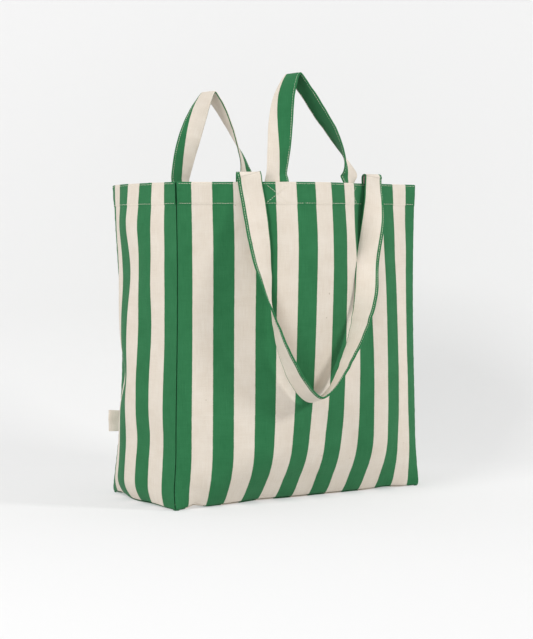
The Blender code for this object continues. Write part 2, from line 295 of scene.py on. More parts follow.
class Finish:
    def __init__(self, name, constants):
        self.material = bpy.data.materials.new(name)
        self.material.use_nodes = True
        self.tree = self.material.node_tree
        self.shader = self.tree.nodes["Principled BSDF"]
        for socket, value in constants.items():
            self.shader.inputs[socket].default_value = value

    # a node by its type: its settings first, then the values or links of its sockets
    def node(self, kind, settings=None, sockets=None, output=0):
        made = self.tree.nodes.new(kind)
        for key, value in (settings or {}).items():
            if key == "stops":
                self.setStops(made.color_ramp, value)
            else:
                setattr(made, key, value)
        for key, value in (sockets or {}).items():
            if isinstance(value, Value):
                self.tree.links.new(value.socket, made.inputs[key])
            else:
                made.inputs[key].default_value = value
        return Value(self, made.outputs[output])

    def setStops(self, ramp, stops):
        while len(ramp.elements) < len(stops):
            ramp.elements.new(1.0)
        for element, (position, shade) in zip(ramp.elements, stops):
            element.position = position
            element.color = (shade, shade, shade, 1.0)

    def maths(self, operation, *values):
        return self.node("ShaderNodeMath", {"operation": operation}, dict(enumerate(values)))

    def feed(self, socket, value):
        self.tree.links.new(value.socket, self.shader.inputs[socket])

    def mix(self, share, first, second, blend="MIX"):
        settings = {"data_type": "RGBA", "blend_type": blend, "clamp_factor": True}
        return self.node("ShaderNodeMix", settings, {0: share, 6: first, 7: second}, output=2)

    def noise(self, vector, scale, detail=2.0, roughness=0.5):
        sockets = {"Vector": vector, "Scale": scale, "Detail": detail, "Roughness": roughness}
        return self.node("ShaderNodeTexNoise", {"noise_dimensions": "3D"}, sockets)

    def stretched(self, vector, x, y, z=1.0):
        return self.node("ShaderNodeVectorMath", {"operation": "MULTIPLY"}, {0: vector, 1: (x, y, z)})

    # 1 between low and high, 0 outside, with soft edges of this width
    def band(self, value, low, high, soft):
        settings = {"interpolation_type": "SMOOTHSTEP"}
        up = self.node("ShaderNodeMapRange", settings, {0: value, 1: low - soft / 2, 2: low + soft / 2})
        down = self.node("ShaderNodeMapRange", settings, {0: value, 1: high - soft / 2, 2: high + soft / 2})
        return up * (1 - down)


clothLook = {
    "cream": (0.790, 0.725, 0.640, 1.0),
    "creamWarm": (0.685, 0.600, 0.500, 1.0),
    "green": (0.017, 0.142, 0.048, 1.0),
    "greenPale": (0.031, 0.190, 0.072, 1.0),
    "speck": (0.33, 0.25, 0.16, 1.0),
    "threadPitch": 0.00062,  # from one yarn to the next
    "roughness": 0.92,
    "sheen": 0.06,
    "edgeWander": 0.00035,  # how far a stripe's edge strays from straight
}


# the cloth itself: a plain weave of yarns with slubs, flecks and two dyed colours.
# green is a function that takes the finish and the place across the cloth in metres, and returns the green share
def makeCloth(name, green, twill=1.0):
    look = clothLook
    finish = Finish(name, {"Sheen Weight": look["sheen"], "Sheen Roughness": 0.45, "Specular IOR Level": 0.25})
    uv = finish.node("ShaderNodeUVMap", {"uv_map": "cloth"})
    finish.clothUv = uv
    split = finish.node("ShaderNodeSeparateXYZ", None, {0: uv})
    across, along = split, Value(finish, split.socket.node.outputs[1])
    # yarns: a raised warp where the two sines agree and a raised weft where they don't
    pitch = look["threadPitch"] * twill
    warp = finish.maths("SINE", across * (pi / pitch))
    weft = finish.maths("SINE", along * (pi / pitch))
    weave = warp * weft * 0.5 + 0.5
    # slubs: long thick places in single yarns, both ways
    slubUp = finish.noise(finish.stretched(uv, 1500.0, 42.0), 1.0, 2.0, 0.6)
    slubAcross = finish.noise(finish.stretched(uv, 42.0, 1500.0), 1.0, 2.0, 0.6)
    slubs = slubUp * 0.6 + slubAcross * 0.4
    blotch = finish.noise(uv, 38.0, 3.0, 0.6)
    fuzz = finish.noise(uv, 2600.0, 2.0, 0.7)
    wander = (finish.noise(finish.stretched(uv, 0.0, 900.0), 1.0, 1.0) - 0.5) * (2 * look["edgeWander"])
    greenShare = green(finish, across + wander)
    # colours
    mottle = finish.node("ShaderNodeMapRange", None, {0: slubs * 0.65 + blotch * 0.35, 1: 0.34, 2: 0.66})
    cream = finish.mix(mottle, look["creamWarm"], look["cream"])
    dyed = finish.mix(mottle, look["green"], look["greenPale"])
    fleckField = finish.node("ShaderNodeTexVoronoi", {"feature": "F1"}, {"Vector": finish.stretched(uv, 1.0, 0.62), "Scale": 72.0})
    fleckSize = finish.noise(uv, 60.0, 0.0)
    flecks = finish.maths("LESS_THAN", fleckField, fleckSize * 0.16 - 0.058)
    cream = finish.mix(flecks * 0.6, cream, look["speck"])
    colour = finish.mix(greenShare, cream, dyed)
    shade = finish.node("ShaderNodeMapRange", None, {0: weave, 1: 0.0, 2: 1.0, 3: 0.90, 4: 1.03})
    grey = finish.node("ShaderNodeCombineXYZ", None, {0: shade, 1: shade, 2: shade})
    finish.feed("Base Color", finish.mix(1.0, colour, grey, "MULTIPLY"))
    finish.feed("Roughness", look["roughness"] - slubs * 0.08)
    height = weave * 0.55 + slubs * 0.9 + fuzz * 0.35
    bump = finish.node("ShaderNodeBump", None, {"Strength": 0.42, "Distance": 0.00045, "Height": height})
    finish.feed("Normal", bump)
    return finish.material


# green and cream stripes of equal width: green where the place, counted in stripes from `start`, is odd
def evenStripes(start):
    def green(finish, across):
        count = across / bag["stripe"] + start
        saw = finish.maths("PINGPONG", count, 1.0)
        return finish.node("ShaderNodeMapRange", {"interpolation_type": "SMOOTHSTEP"}, {0: saw, 1: 0.486, 2: 0.514})
    return green


# green bands across a strap. Cut off the straight grain, one band's low edge drifts by drift[1] at the crown
def strapStripes(bands, drift=None):
    def green(finish, across):
        total = None
        for index, (low, high) in enumerate(bands):
            share = finish.band(across, low, high, 0.0005)
            if drift and index == drift[0]:
                along = finish.node("ShaderNodeSeparateXYZ", None, {0: finish.clothUv}, output=1)
                fromCrown = finish.maths("ABSOLUTE", along - crownPlace)
                moved = finish.maths("SMOOTH_MAX", 1 - fromCrown * (1 / driftReach), 0.0, 0.15) * drift[1]
                share = finish.band(across - moved, low, high + abs(drift[1]), 0.0005)
                share = share * finish.band(across, -0.03 if low < 0.05 else 0.07, 0.05 if low < 0.05 else 0.13, 0.0005)
            total = share if total is None else finish.maths("MAXIMUM", total, share)
        return total
    return green


crownPlace, driftReach = 0.178, 0.14


# ---- walls

wallLook = {
    "cloth": 0.0009,
    "cornerRadius": 0.0012,  # where a wall turns in at a corner seam
    "cornerGap": 0.00025,
    "seamAllowance": 0.009,
    "hemDepth": 0.027,
    "hemFold": 0.0015,
    "hemStep": 0.0007,  # the hem zone stands this much proud
    "footRadius": 0.0022,
    "footTuck": 0.006,
    "footClear": 0.0010,  # the walls' lower edges hang this far off the floor
    "columns": 132,
    "gussetColumns": 84,
    "rows": 128,
}


# across a wall: distance e from the corner along it and depth d into the corner seam
def acrossProfile(flat, columns):
    r, allowance = wallLook["cornerRadius"], wallLook["seamAllowance"]
    inside = np.linspace(allowance, r, 6)
    turn = np.linspace(0, pi / 2, 7)[1:]
    e = np.concatenate([0 * inside, r * (1 - np.cos(turn))])
    d = np.concatenate([inside, r * (1 - np.sin(turn))])
    s = np.linspace(0, 1, columns)[1:-1]
    s = s - 0.10 * np.sin(2 * pi * s) / (2 * pi) * 2
    middle = r + (flat - 2 * r) * s
    ends = np.concatenate([e, middle, flat - e[::-1]])
    depths = np.concatenate([d, 0 * middle, d[::-1]])
    return ends, depths


# up a wall: height, depth inward and cloth length, from the tucked foot over the rim to the hem's edge inside
def upProfile():
    look, top = wallLook, bag["height"]
    rFoot, rTop = look["footRadius"], look["hemFold"]
    tuck = np.linspace(look["footTuck"], rFoot, 3)
    turn = np.linspace(0, pi / 2, 6)[1:]
    z = np.concatenate([0 * tuck, rFoot * (1 - np.cos(turn))])
    d = np.concatenate([tuck, rFoot * (1 - np.sin(turn))])
    hemStart = top - look["hemDepth"] - 0.004
    s = np.linspace(0, 1, look["rows"])[1:]
    body = rFoot + (hemStart - rFoot) * (0.35 * s**2 + 0.65 * s)
    hem = np.linspace(hemStart, top - rTop, 40)[1:]
    over = np.linspace(0, pi, 9)[1:]
    z = np.concatenate([z, body, hem, top - rTop + rTop * np.sin(over), np.linspace(top - rTop, top - look["hemDepth"], 14)[1:]])
    d = np.concatenate([d, 0 * body, 0 * hem, rTop * (1 - np.cos(over)), np.full(13, 2 * rTop)])
    length = np.concatenate([[0], np.cumsum(np.hypot(np.diff(z), np.diff(d)))])
    return z, d, length


# the lower edge of a wall lifts off the floor a little in places
def footLift(wall, t):
    lifts = {
        "front": ((0.075, 0.030, 0.0042), (0.33, 0.09, 0.0012), (0.86, 0.05, 0.0016)),
        "left": ((0.30, 0.16, 0.0016), (0.80, 0.12, 0.0030)),
        "back": ((0.20, 0.06, 0.0030), (0.85, 0.05, 0.0025)),
        "right": ((0.30, 0.12, 0.0022), (0.75, 0.12, 0.0018)),
    }
    return sum(size * np.exp(-(((t - place) / reach) ** 2)) for place, reach, size in lifts[wall])


# how far the cloth stands out from its smooth shape: stitch grooves, hem step and puckers
def surfaceDetail(wall, t, z, distance):
    look, top = wallLook, bag["height"]
    seed = {"front": 0.4, "back": 1.9, "left": 3.1, "right": 4.7}[wall]
    flat = bag["flatWidth"] if wall in ("front", "back") else bag["flatDepth"]
    fromTop = top - z
    hemZone = smoothstep((look["hemDepth"] + 0.0012 - fromTop) / 0.0012)
    detail = look["hemStep"] * hemZone
    for row in (0.0022, look["hemDepth"] - 0.001):
        groove = np.exp(-(((fromTop - row) / 0.0009) ** 2))
        detail = detail - groove * (0.00030 + 0.00012 * ripple(distance, 0.0032, seed))
    pucker = np.exp(-(((fromTop - look["hemDepth"]) / 0.010) ** 2))
    detail = detail + 0.00035 * pucker * ripple(distance, 0.0115, seed + 1) * smoothstep(fromTop / 0.004)
    detail = detail + 0.00022 * np.exp(-((fromTop / 0.008) ** 2)) * ripple(distance, 0.014, seed + 2)
    fromCorner = np.minimum(t, 1 - t) * flat
    seamPucker = np.exp(-fromCorner / 0.007) * smoothstep(fromCorner / 0.002)
    detail = detail + 0.00055 * seamPucker * ripple(z, 0.0135, seed + np.round(t) * 2)
    footPucker = np.exp(-z / 0.010)
    detail = detail + 0.0006 * footPucker * ripple(distance, 0.021, seed + 3) * smoothstep(fromCorner / 0.01)
    # slow unevenness of a cloth that has been folded and filled
    slow = ripple(distance + 0.35 * z, 0.083, seed) * ripple(z - 0.2 * distance, 0.127, seed + 5)
    return detail + 0.0009 * slow * smoothstep(fromCorner / 0.02)


def makeWall(wall, name, finish, nodes):
    look, top = wallLook, bag["height"]
    isWide = wall in ("front", "back")
    flat = bag["flatWidth"] if isWide else bag["flatDepth"]
    e, d = acrossProfile(flat, look["columns"] if isWide else look["gussetColumns"])
    z, inward, length = upProfile()
    e, d = e[:, None], d[:, None]
    z, inward, length = z[None, :], inward[None, :], length[None, :]
    t = e / flat
    end = np.where(t < 0.5, -1.0, 1.0)
    # the hem's inner layer stops short of the neighbouring wall's, and the seam's edges shrink behind it
    edge = 1 - smoothstep(np.minimum(e, flat - e) / 0.012)
    t = t - end * edge * inward * (inward <= 2 * look["hemFold"] + 1e-6) * (z > top / 2) / flat
    room = np.clip((top - look["hemDepth"] - z) / 0.004, 0, 1) * smoothstep((z - 0.004) / 0.010)
    depth = np.minimum(d, look["cornerRadius"] + (d - look["cornerRadius"]) * room) * (d > look["cornerRadius"]) + d * (d <= look["cornerRadius"])
    depth = depth * np.where((z > top / 2) & (inward > 0), 0.6, 1.0)
    half = halfWidth(z) if isWide else halfDepth(z)
    u = half * (2 * t - 1)
    clear = look["footClear"] * (1 + 1.6 * np.sin(pi * np.clip(t, 0, 1)) ** 0.5)
    lift = (footLift(wall, t) + clear) * (1 - smoothstep(z / 0.05))
    distance = e + 0 * z
    detail = surfaceDetail(wall, t, z, distance) * (inward < look["hemFold"])
    shift = inward - bag["wallHalf"] - detail
    u2, out = movedIn(wall, u, z, shift)
    # at the corner seam the cloth turns in along the line that halves the corner
    u2 = u2 - end * (depth + look["cornerGap"]) / np.sqrt(2)
    out = out - depth / np.sqrt(2)
    points = placed(wall, u2, out, z + lift)
    steps = np.linalg.norm(np.diff(points, axis=0), axis=-1)
    arc = np.concatenate([np.zeros((1, points.shape[1])), np.cumsum(steps, axis=0)])
    start = arc[5:6, :]
    arc = (arc - start) / (arc[-6:-5, :] - start) * flat
    if wall in ("back", "left"):
        arc = flat - arc
    rows, columns = points.shape[:2]
    quads = gridQuads(rows, columns)
    if wall in ("back", "left"):
        quads = quads[:, ::-1]
    piece = addObject(name, points.reshape(-1, 3), quads, finish)
    uv = np.stack([arc, length + 0 * arc], axis=-1).reshape(-1, 2)
    addUv(piece, uv[quads.ravel()])
    thicken(piece, look["cloth"])
    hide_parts(*nodes)
    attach(piece, "bag_body")
    return piece


print("walls")
frontCloth = makeCloth("frontStripes", evenStripes(0.75))
gussetCloth = makeCloth("gussetStripes", evenStripes(0.65))
makeWall("front", "frontWall", frontCloth, ("front_panel", "front_hem"))
makeWall("back", "backWall", frontCloth, ("back_panel", "back_hem"))
makeWall("left", "leftGussetCloth", gussetCloth, ("left_gusset", "left_hem", "front_left_seam", "back_left_seam"))
makeWall("right", "rightGussetCloth", gussetCloth, ("right_gusset", "right_hem", "front_right_seam", "back_right_seam"))


# ---- bottom: a flat sheet whose edges follow the walls' feet

bottomLook = {"inset": 0.0030, "thickness": 0.0009, "clear": 0.0001}


def makeBottom():
    t = np.linspace(0, 1, 90)[:, None]
    v = np.linspace(0, 1, 50)[None, :]
    x = (2 * t - 1) * (halfWidth(0.0) + gussetBow(v, 0.0) - bottomLook["inset"])
    edge = halfDepth(0.0) - bag["footInset"] * np.sin(pi * t) - bottomLook["inset"]
    y = edge * (2 * v - 1)
    nearFront, nearBack = np.exp(-(y + edge) / 0.016), np.exp(-(edge - y) / 0.016)
    nearLeft, nearRight = np.exp(-(x - x[:1]) / 0.016), np.exp(-(x[-1:] - x) / 0.016)
    z = footLift("front", t) * nearFront + footLift("back", t) * nearBack
    z = z + footLift("left", v) * nearLeft + footLift("right", v) * nearRight
    z = z + 0.0004 * (1 + ripple(x, 0.05, 1.0) * ripple(y, 0.06, 2.0)) + bottomLook["clear"] + bottomLook["thickness"]
    points = settled(np.stack(np.broadcast_arrays(x, y, z), axis=-1))
    quads = gridQuads(*points.shape[:2])
    piece = addObject("bottomCloth", points.reshape(-1, 3), quads, bottomStripes)
    uv = np.stack(np.broadcast_arrays(x + bag["flatWidth"] / 2, y), axis=-1).reshape(-1, 2)
    addUv(piece, uv[quads.ravel()])
    thicken(piece, bottomLook["thickness"])
    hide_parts("bottom_panel")
    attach(piece, "bag_body")


print("bottom")
bottomStripes = frontCloth
makeBottom()


# ---- straps

strapLook = {
    "width": 0.030,
    "thickness": 0.0024,
    "stitchInset": 0.0021,
    "groove": 0.00028,
    "sewnDepth": 0.0275,
    "restGap": 0.0013,
    "turnedGap": 0.005,  # how much further off the wall it stands where it is turned on edge
    "plane": 0.00385,  # a sewn end's middle, in from the middle of the wall
    "stations": 300,
    "spacing": 0.0016,  # from one cross-section to the next
}
# for each strap: the wall, short or long, x midway between its legs, half the span, the height or drop of the
# loop, its sideways lean, how far above the rim it bends, the shape of its loop, how far round from either
# end it is fully turned, and by how many degrees
straps = {
    "frontShortHandle": {
        "side": "front", "kind": "short", "middle": -0.003, "halfSpan": 0.058,
        "reach": 0.125, "lean": -0.025, "rise": 0.010, "powers": (1.75, 1.5), "twistEnds": (84, 50), "turn": 90,
    },
    "backShortHandle": {
        "side": "back", "kind": "short", "middle": -0.011, "halfSpan": 0.058,
        "reach": 0.121, "lean": -0.003, "rise": 0.010, "powers": (1.75, 1.5), "twistEnds": (84, 88), "turn": 90,
    },
    "frontLongStrap": {
        "side": "front", "kind": "long", "middle": 0.001, "halfSpan": 0.094,
        "reach": 0.276, "lean": -0.0205, "rise": 0.008, "powers": (1.15, 4 / 3), "twistEnds": (75, 75), "turn": 106, "drift": 0.002,
        "creases": ((0.224, -0.0008, 0.0042), (0.170, -0.0006, 0.0048)),
    },
    "backLongStrap": {
        "side": "back", "kind": "long", "middle": -0.011, "halfSpan": 0.094,
        "reach": 0.276, "lean": 0.012, "rise": 0.0006, "powers": (1.15, 4 / 3), "twistEnds": (75, 75), "turn": 90,
    },
}


# a loop's middle line: sideways -span cos^power with a lean, and reach sin^power along it. Its left leg may
# drift inwards below its fold and come back lower down
def loopLine(phi, values):
    along = np.abs(np.sin(phi)) ** values["powers"][1]
    sideways = -values["halfSpan"] * np.sign(np.cos(phi)) * np.abs(np.cos(phi)) ** values["powers"][0]
    drop = values["reach"] * along
    drifted = smoothstep(drop / 0.040) * (1 - smoothstep((drop - 0.06) / 0.13)) * (phi < pi / 2)
    return sideways + values["lean"] * smoothstep(along) + values.get("drift", 0.0) * drifted, drop


# a hanging strap and a handle's left leg turn slowly at first; a handle's right leg turns at once, as 1 - (1 - x)^2
def twistAlong(phi, values):
    left, right = (np.clip(at / radians(end), 0.0, 1.0) for at, end in zip((phi, pi - phi), values["twistEnds"]))
    right = footRise(right, 1.0) if values["kind"] == "short" else smoothstep(right)
    return radians(values["turn"]) * smoothstep(left) * right


def wallPoint(side, x, z, inward):
    u, out = movedIn(side, x, np.minimum(z, bag["height"]), inward)
    return placed(side, u, out, z)


def wallNormal(side, x, z):
    step = 0.001
    slope = (wallOut(side, x + step, z) - wallOut(side, x - step, z)) / (2 * step)
    rise = (wallOut(side, x, z + step) - wallOut(side, x, z - step)) / (2 * step)
    sign = facings[side][1]
    return unit(np.stack([-slope, sign + 0 * slope, -rise], axis=-1))


# the middle line and face direction of a standing handle, from one sewn end to the other
def standingPath(values):
    side, sign = values["side"], facings[values["side"]][1]
    top, rise = bag["height"], values["rise"]
    legs = values["middle"] + np.array([-1, 1]) * values["halfSpan"]
    left, right = wallPoint(side, legs, np.array([top, top]), strapLook["plane"])
    left[2] = right[2] = top + rise
    middle, along = (left + right) / 2, unit(right - left)
    phi = np.linspace(0, pi, strapLook["stations"])
    sideways, height = loopLine(phi, {**values, "halfSpan": np.linalg.norm(right - left) / 2})
    line = middle + sideways[:, None] * along + height[:, None] * np.array([0.0, 0.0, 1.0])
    line[:, 1] += 0.008 * (height / values["reach"]) ** 2
    outward = sign * np.array([-along[1], along[0], 0.0])
    tangent = unit(np.gradient(line, axis=0))
    inLoop = unit(np.cross(outward, tangent))
    twist = twistAlong(phi, values)[:, None]
    face = np.cos(twist) * outward + np.sin(twist) * inLoop
    return withSewnEnds(side, legs, line, face, top - strapLook["sewnDepth"], top + 0.001)


# straight runs down inside the rim at both ends of a line
def withSewnEnds(side, legs, line, face, low, high):
    z = np.linspace(low, high, 26)
    ends = [wallPoint(side, x + 0 * z, z, strapLook["plane"]) for x in legs]
    normals = [wallNormal(side, x + 0 * z, np.full(26, bag["height"] - 0.002)) for x in legs]
    line = np.concatenate([ends[0], line, ends[1][::-1]])
    face = np.concatenate([normals[0], face, normals[1][::-1]])
    return line, face


# a shoulder strap: up inside the rim, over it in a half circle, and down against the wall
def hangingPath(values):
    side, sign = values["side"], facings[values["side"]][1]
    top, rise = bag["height"], values["rise"]
    legs = values["middle"] + np.array([-1, 1]) * values["halfSpan"]
    phi = np.linspace(0, pi, strapLook["stations"])
    sideways, drop = loopLine(phi, values)
    x, z = values["middle"] + sideways, top + rise - drop
    twist = twistAlong(phi, values)
    away = bag["wallHalf"] + strapLook["restGap"]
    away = away + strapLook["thickness"] / 2 * np.cos(twist)
    away = away + (strapLook["width"] / 2 + strapLook["turnedGap"]) * np.sin(twist)
    line = placed(side, x, wallOut(side, x, z) + away, z)
    tangent = unit(np.gradient(line, axis=0))
    inLoop = unit(np.cross(np.array([0.0, -1.0, 0.0]), tangent))
    face = np.cos(twist)[:, None] * wallNormal(side, x, z) + np.sin(twist)[:, None] * inLoop
    # over the rim
    outside = outsidePlane()
    radius, centre = (strapLook["plane"] + outside) / 2, (strapLook["plane"] - outside) / 2
    turn = np.linspace(0, pi, 20)[:-1]
    folds, foldFaces = [], []
    for leg in legs:
        normal = wallNormal(side, np.array(leg), np.array(top - 0.002))
        normal = unit(normal * np.array([1, 1, 0]))
        base = placed(side, np.array(leg), wallOut(side, np.array(leg), np.array(top)), np.array(top + rise))
        inward = centre + radius * np.cos(turn)
        folds.append(base - normal * inward[:, None] + np.array([0, 0, 1.0]) * (radius * np.sin(turn))[:, None])
        foldFaces.append(-normal * np.cos(turn)[:, None] + np.array([0, 0, 1.0]) * np.sin(turn)[:, None])
    line = np.concatenate([folds[0], line, folds[1][::-1]])
    face = np.concatenate([foldFaces[0], face, foldFaces[1][::-1]])
    low, high = top - strapLook["sewnDepth"], top + rise - 0.0005
    zEnd = np.linspace(low, high, 24)
    ends = [wallPoint(side, leg + 0 * zEnd, zEnd, strapLook["plane"]) for leg in legs]
    normals = [-wallNormal(side, leg + 0 * zEnd, np.full(24, top - 0.002)) for leg in legs]
    return np.concatenate([ends[0], line, ends[1][::-1]]), np.concatenate([normals[0], face, normals[1][::-1]])


# soft creases across a strap's second leg, at these heights: a sunk line beside a raised one
def creased(values, line):
    second = np.arange(len(line)) > len(line) / 2
    total = np.zeros(len(line))
    for height, depth, reach in values.get("creases", ()):
        station = np.argmin(np.abs(line[:, 2] - height) + 9.0 * ~second)
        away = (np.arange(len(line)) - station) * strapLook["spacing"] / reach
        total = total + depth * (np.exp(-(away**2)) - 0.7 * np.exp(-((away - 1.9) ** 2)))
    return total


# places evenly spaced along a line, with what belongs to each
def resampled(line, face, spacing):
    steps = np.linalg.norm(np.diff(line, axis=0), axis=-1)
    along = np.concatenate([[0], np.cumsum(steps)])
    places = np.linspace(0, along[-1], int(along[-1] / spacing))
    pick = lambda data: np.stack([np.interp(places, along, data[:, i]) for i in range(3)], axis=-1)
    return pick(line), unit(pick(face)), places


# a running mean along the line, which rounds off the joins; the two ends stay where they are
def eased(data, width):
    kernel = np.hanning(2 * width + 3)[1:-1]
    kernel = kernel / kernel.sum()
    padded = np.concatenate([2 * data[:1] - data[width:0:-1], data, 2 * data[-1:] - data[-2:-width - 2:-1]])
    return np.stack([np.convolve(padded[:, i], kernel, mode="valid") for i in range(data.shape[1])], axis=-1)


# the strap's cross-section: two flat faces with rounded ends and a groove under each row of stitches
def strapSection():
    half, thick, inset = strapLook["width"] / 2, strapLook["thickness"] / 2, strapLook["stitchInset"]
    x = half - thick - (half - thick) * (1 - np.cos(np.linspace(0, pi, 27)))
    groove = strapLook["groove"] * (np.exp(-(((half - inset - x) / 0.0008) ** 2)) + np.exp(-(((half - inset + x) / 0.0008) ** 2)))
    y = thick - groove
    turn = np.linspace(pi / 2, -pi / 2, 7)[1:-1]
    capX, capY = half - thick + thick * np.cos(turn), thick * np.sin(turn)
    # face A from +x to -x, the cap at -x, face B back to +x, the cap at +x
    xs = np.concatenate([x, -capX, x[::-1], capX[::-1]])
    ys = np.concatenate([y, capY, -y[::-1], capY[::-1]])
    count, cap = len(x), len(turn)
    side = np.concatenate([np.zeros(count + cap // 2), np.ones(count + cap), np.zeros(cap - cap // 2)])
    return xs, ys, side


def strapFrame(name, values):
    line, face = (standingPath if values["kind"] == "short" else hangingPath)(values)
    line, face, places = resampled(line, face, strapLook["spacing"])
    line, face = eased(line, 2), unit(eased(face, 3))
    tangent = unit(np.gradient(line, axis=0))
    across = unit(np.cross(tangent, face))
    normal = unit(np.cross(across, tangent))
    seed = 0.3 + 1.3 * list(straps).index(name)
    shape = 0.0005 * ripple(places, 0.061, seed) + 0.00025 * ripple(places, 0.023, seed + 2) + creased(values, line)
    return line + normal * shape[:, None], across, normal, places


# one length of strap between two of its stations, closed at both ends
def makeStrapPiece(name, frameParts, span, finish):
    line, across, normal, places = (part[span] for part in frameParts)
    xs, ys, side = strapSection()
    cup = 0.00035 * ripple(places, 0.045, len(name))[:, None] * (xs[None, :] / (strapLook["width"] / 2)) ** 2
    points = line[:, None, :] + across[:, None, :] * xs[None, :, None]
    points = points + normal[:, None, :] * (ys[None, :] + cup)[..., None]
    rows, columns = points.shape[:2]
    quads = gridQuads(rows, columns, wrap=True)
    # a face's place across is kept in metres, and 0.1 m is added on the strap's second side
    later = np.roll(np.arange(columns), -1)
    first, second = xs + 0.1 * side, xs[later] + 0.1 * side
    low, high = places[:-1, None] + 0 * first, places[1:, None] + 0 * first
    corners = [np.stack([first + 0 * low, low], -1), np.stack([first + 0 * low, high], -1)]
    corners += [np.stack([second + 0 * low, high], -1), np.stack([second + 0 * low, low], -1)]
    corners = np.stack(corners, axis=2)
    ring, count = np.arange(columns), rows * columns
    last = (rows - 1) * columns + ring
    capFirst = np.stack([ring, later, np.full(columns, count)], axis=-1)
    capLast = np.stack([np.roll(last, -1), last, np.full(columns, count + 1)], axis=-1)
    mesh = bpy.data.meshes.new(name)
    allPoints = np.concatenate([points.reshape(-1, 3), line[:1], line[-1:]])
    mesh.from_pydata(allPoints.tolist(), [], quads.tolist() + capFirst.tolist() + capLast.tolist())
    capUv = np.stack([np.repeat(xs, 3), np.zeros(3 * columns)], axis=-1)
    uv = np.concatenate([corners.reshape(-1, 2), capUv, capUv])
    mesh.uv_layers.new(name="cloth").data.foreach_set("uv", uv.astype(np.float32).ravel())
    mesh.shade_smooth()
    mesh.materials.append(finish)
    piece = bpy.data.objects.new(name, mesh)
    bpy.context.scene.collection.objects.link(piece)
    return piece


# stations where a long strap leaves its two folds over the rim
def foldStations(frameParts, values):
    line = frameParts[0]
    length = strapLook["sewnDepth"] + values["rise"] + pi * (strapLook["plane"] + outsidePlane()) / 2
    count = int(round(length / strapLook["spacing"]))
    return count, len(line) - 1 - count


def outsidePlane():
    return bag["wallHalf"] + strapLook["restGap"] + strapLook["thickness"] / 2


# two points where a strap's leg goes over the rim, straight out through the wall: one on the bag body's side, one on
# the strap's
def foldBlend(values, leg):
    side = values["side"]
    place = values["middle"] + (values["halfSpan"] if leg == "right" else -values["halfSpan"])
    outward = unit(wallNormal(side, np.array(place), np.array(bag["height"] - 0.002)) * np.array([1, 1, 0]))
    base = placed(side, np.array(place), wallOut(side, np.array(place), np.array(bag["height"])), np.array(bag["height"]))
    return tuple(base - outward * 0.0026), tuple(base + outward * 0.0017)


# green bands across each strap, from low to high; the second face starts 0.1 m on
frontHandleCloth = makeCloth("frontHandleCloth", strapStripes(((0.0035, 0.02), (0.0865, 0.12)), (0, -0.0165)))
backHandleCloth = makeCloth("backHandleCloth", strapStripes(((0.098, 0.12), (-0.02, -0.0135)), (0, 0.0165)))
longBands = ((0.0108, 0.02), (-0.02, -0.0137), (0.1108, 0.12), (0.08, 0.0863))
longStrapCloth = makeCloth("longStrapCloth", strapStripes(longBands))
strapCloths = {
    "frontShortHandle": (frontHandleCloth, "striped_canvas", "front_short_handle"),
    "backShortHandle": (backHandleCloth, "striped_canvas", "back_short_handle"),
    "frontLongStrap": (longStrapCloth, "strap_canvas", "front_long_strap"),
    "backLongStrap": (longStrapCloth, "strap_canvas", "back_long_strap"),
}
top = bag["height"]
strapFrames = {}


def makeStraps():
    for name, values in straps.items():
        print("strap", name)
        cloth, slotName, bodyName = strapCloths[name]
        parts = strapFrame(name, values)
        strapFrames[name] = parts
        ends = [f"{values['side']}_{values['kind']}_end_{leg}" for leg in ("left", "right")]
        if values["kind"] == "short":
            piece = makeStrapPiece(name, parts, slice(None), cloth)
            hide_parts(bodyName, *ends)
            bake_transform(piece)
            continue
        first, last = foldStations(parts, values)
        piece = makeStrapPiece(name, parts, slice(first, last + 1), cloth)
        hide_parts(bodyName)
        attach(piece, bodyName)
        for leg, end, span in (("left", ends[0], slice(None, first + 1)), ("right", ends[1], slice(last, None))):
            piece = makeStrapPiece(name + leg.title() + "End", parts, span, cloth)
            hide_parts(end)
            start, stop = foldBlend(values, leg)
            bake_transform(piece)


makeStraps()


# ---- side label: a folded tape whose loop stands a little open

labelLook = {"height": 0.027, "reach": 0.0145, "middle": 0.094, "direction": (-0.80, 0.60), "cloth": 0.0005, "open": 0.0016}


def makeLabel():
    look = labelLook
    corner = settled(np.array([-halfWidth(look["middle"]), halfDepth(look["middle"]), look["middle"]]))
    corner[2] = 0.0
    out = unit(np.array([*look["direction"], 0.0]))
    side = np.array([-out[1], out[0], 0.0])
    # round the loop: out along one layer, round the fold and back along the other
    s = np.linspace(0, 2 * pi, 49)[:, None]
    reach = look["reach"] * (0.5 - 0.5 * np.cos(s)) ** 0.62
    spread = look["open"] * np.sin(s) * np.abs(np.sin(s / 2)) ** 0.8 + 0.00035 * np.cos(s / 2)
    z = np.linspace(-0.5, 0.5, 30)[None, :]
    sag = 0.0012 * ripple(z * 0.027, 0.021, 0.7) * (reach / look["reach"]) ** 2
    height = look["middle"] + look["height"] * z * (1 + 0.02 * reach / look["reach"])
    x = reach + 0 * z
    y = spread + sag
    points = corner + out * x[..., None] + side * y[..., None] + np.array([0, 0, 1.0]) * (height + 0 * x)[..., None]
    quads = gridQuads(*points.shape[:2])
    piece = addObject("sideLabel", points.reshape(-1, 3), quads, labelCloth)
    length = 2 * look["reach"] * s / (2 * pi)
    uv = np.stack(np.broadcast_arrays(length, look["height"] * z), axis=-1).reshape(-1, 2)
    addUv(piece, uv[quads.ravel()])
    thicken(piece, look["cloth"], 0.0)
    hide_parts("side_label")
    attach(piece, "side_label")


def neverGreen(finish, across):
    return finish.band(across, 8.0, 9.0, 0.1)


print("label")
labelCloth = makeCloth("labelCloth", neverGreen, 0.6)
makeLabel()


# ---- stitches: short raised threads in rows

